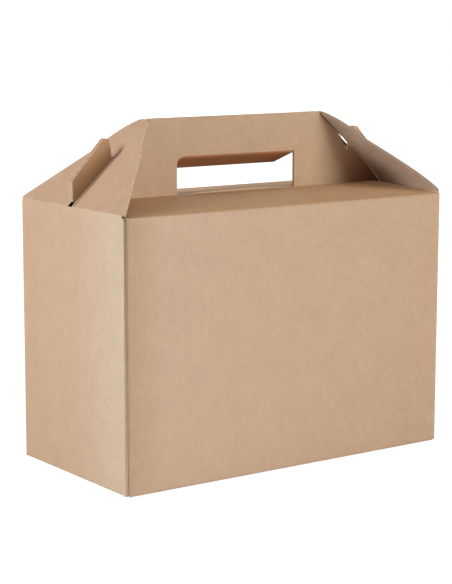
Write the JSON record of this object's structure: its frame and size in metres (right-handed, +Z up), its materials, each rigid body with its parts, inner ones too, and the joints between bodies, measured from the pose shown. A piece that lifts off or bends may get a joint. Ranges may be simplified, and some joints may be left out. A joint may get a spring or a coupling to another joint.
{
  "type": "takeaway box",
  "caption": "Carry box folded from fine-fluted kraft board, with a ridge handle, a hand hole and sloping end flaps locked by tabs.",
  "frame": {"origin": "middle of the box's footprint, on the surface that it stands on", "axes": "+X along the box's long side, to the right as seen from the front; +Y from the front to the back; +Z up"},
  "size_m": [0.219, 0.108, 0.195],
  "materials": {
    "kraft_board": "matt brown kraft liner"
  },
  "bodies": {
    "carton": {"carton": "kraft_board"},
    "left_end_flap": {"left_end_flap": "kraft_board"},
    "right_end_flap": {"right_end_flap": "kraft_board"}
  },
  "joints": [
    {"name": "left_end_flap_crease", "type": "hinge", "parent": "carton", "child": "left_end_flap", "pos_m": [-0.1095, 0, 0.15], "axis": [0, -1, 0], "range_deg": [0, 200]},
    {"name": "right_end_flap_crease", "type": "hinge", "parent": "carton", "child": "right_end_flap", "pos_m": [0.1095, 0, 0.15], "axis": [0, 1, 0], "range_deg": [0, 200]}
  ]
}
